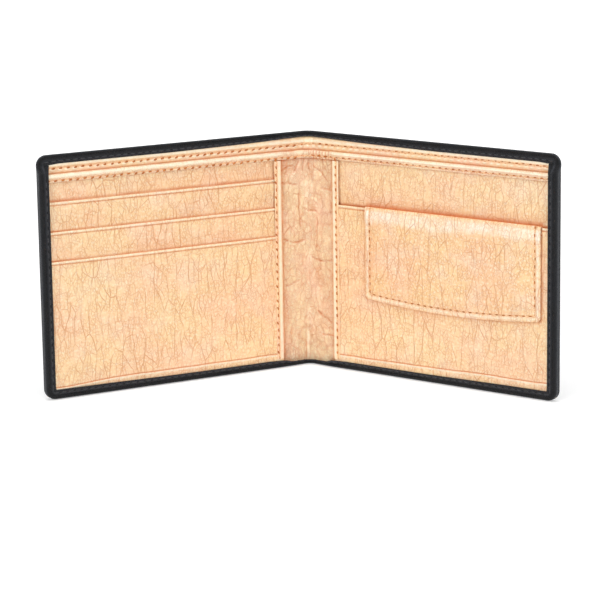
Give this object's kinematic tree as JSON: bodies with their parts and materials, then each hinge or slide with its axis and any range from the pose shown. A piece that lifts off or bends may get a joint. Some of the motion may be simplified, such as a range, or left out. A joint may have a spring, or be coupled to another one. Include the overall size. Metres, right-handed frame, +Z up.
{
  "type": "bifold wallet",
  "caption": "Bifold leather wallet standing open, with a bill compartment, stepped card slots and a coin pocket with a flap.",
  "frame": {"origin": "middle of the footprint, on the surface the wallet stands on", "axes": "+Z up along the height, +X to the right across the open halves, +Y to the back, towards the spine; the inside faces -Y"},
  "size_m": [0.1984, 0.0652, 0.095],
  "materials": {
    "cover_leather": "black grained leather, satin",
    "panel_leather": "peach crackled leather with a pearl sheen",
    "lining_leather": "peach crackled lining, soft sheen",
    "edge_leather": "peach leather, folded edges with a bright pearl sheen",
    "snap_metal": "satin brass"
  },
  "bodies": {
    "spine": {"spine_cover": "cover_leather", "spine_bill_lining": "lining_leather", "spine_bill_front": "edge_leather"},
    "left_half": {"left_cover": "cover_leather", "left_bill_lining": "lining_leather", "left_bill_front": "edge_leather", "left_card_backing": "panel_leather", "card_pocket_top": "panel_leather", "card_pocket_middle": "panel_leather", "card_pocket_front": "panel_leather", "left_panel_binding": "edge_leather"},
    "right_half": {"right_cover": "cover_leather", "right_bill_lining": "lining_leather", "right_bill_front": "edge_leather", "right_panel_back": "panel_leather", "coin_panel": "panel_leather", "right_panel_binding": "edge_leather", "flap_root": "edge_leather", "snap_stud": "snap_metal", "stud_rivet": "snap_metal"},
    "coin_flap": {"coin_flap": "panel_leather", "coin_flap_lining": "lining_leather", "snap_socket": "snap_metal"}
  },
  "joints": [
    {"name": "right_fold", "type": "hinge", "parent": "spine", "child": "right_half", "pos_m": [0.00906, 0.02751, 0.0475], "axis": [0, 0, -1], "range_deg": [-32, 57]},
    {"name": "left_fold", "type": "hinge", "parent": "spine", "child": "left_half", "pos_m": [-0.00906, 0.02751, 0.0475], "axis": [0, 0, 1], "range_deg": [-32, 57]},
    {"name": "flap_hinge", "type": "hinge", "parent": "right_half", "child": "coin_flap", "pos_m": [0.0572, -0.00841, 0.0667], "axis": [-0.8434, 0.5373, 0], "range_deg": [0, 170]}
  ],
  "couplings": [
    {"joint": "left_fold", "follows": "right_fold", "ratio": 1}
  ]
}
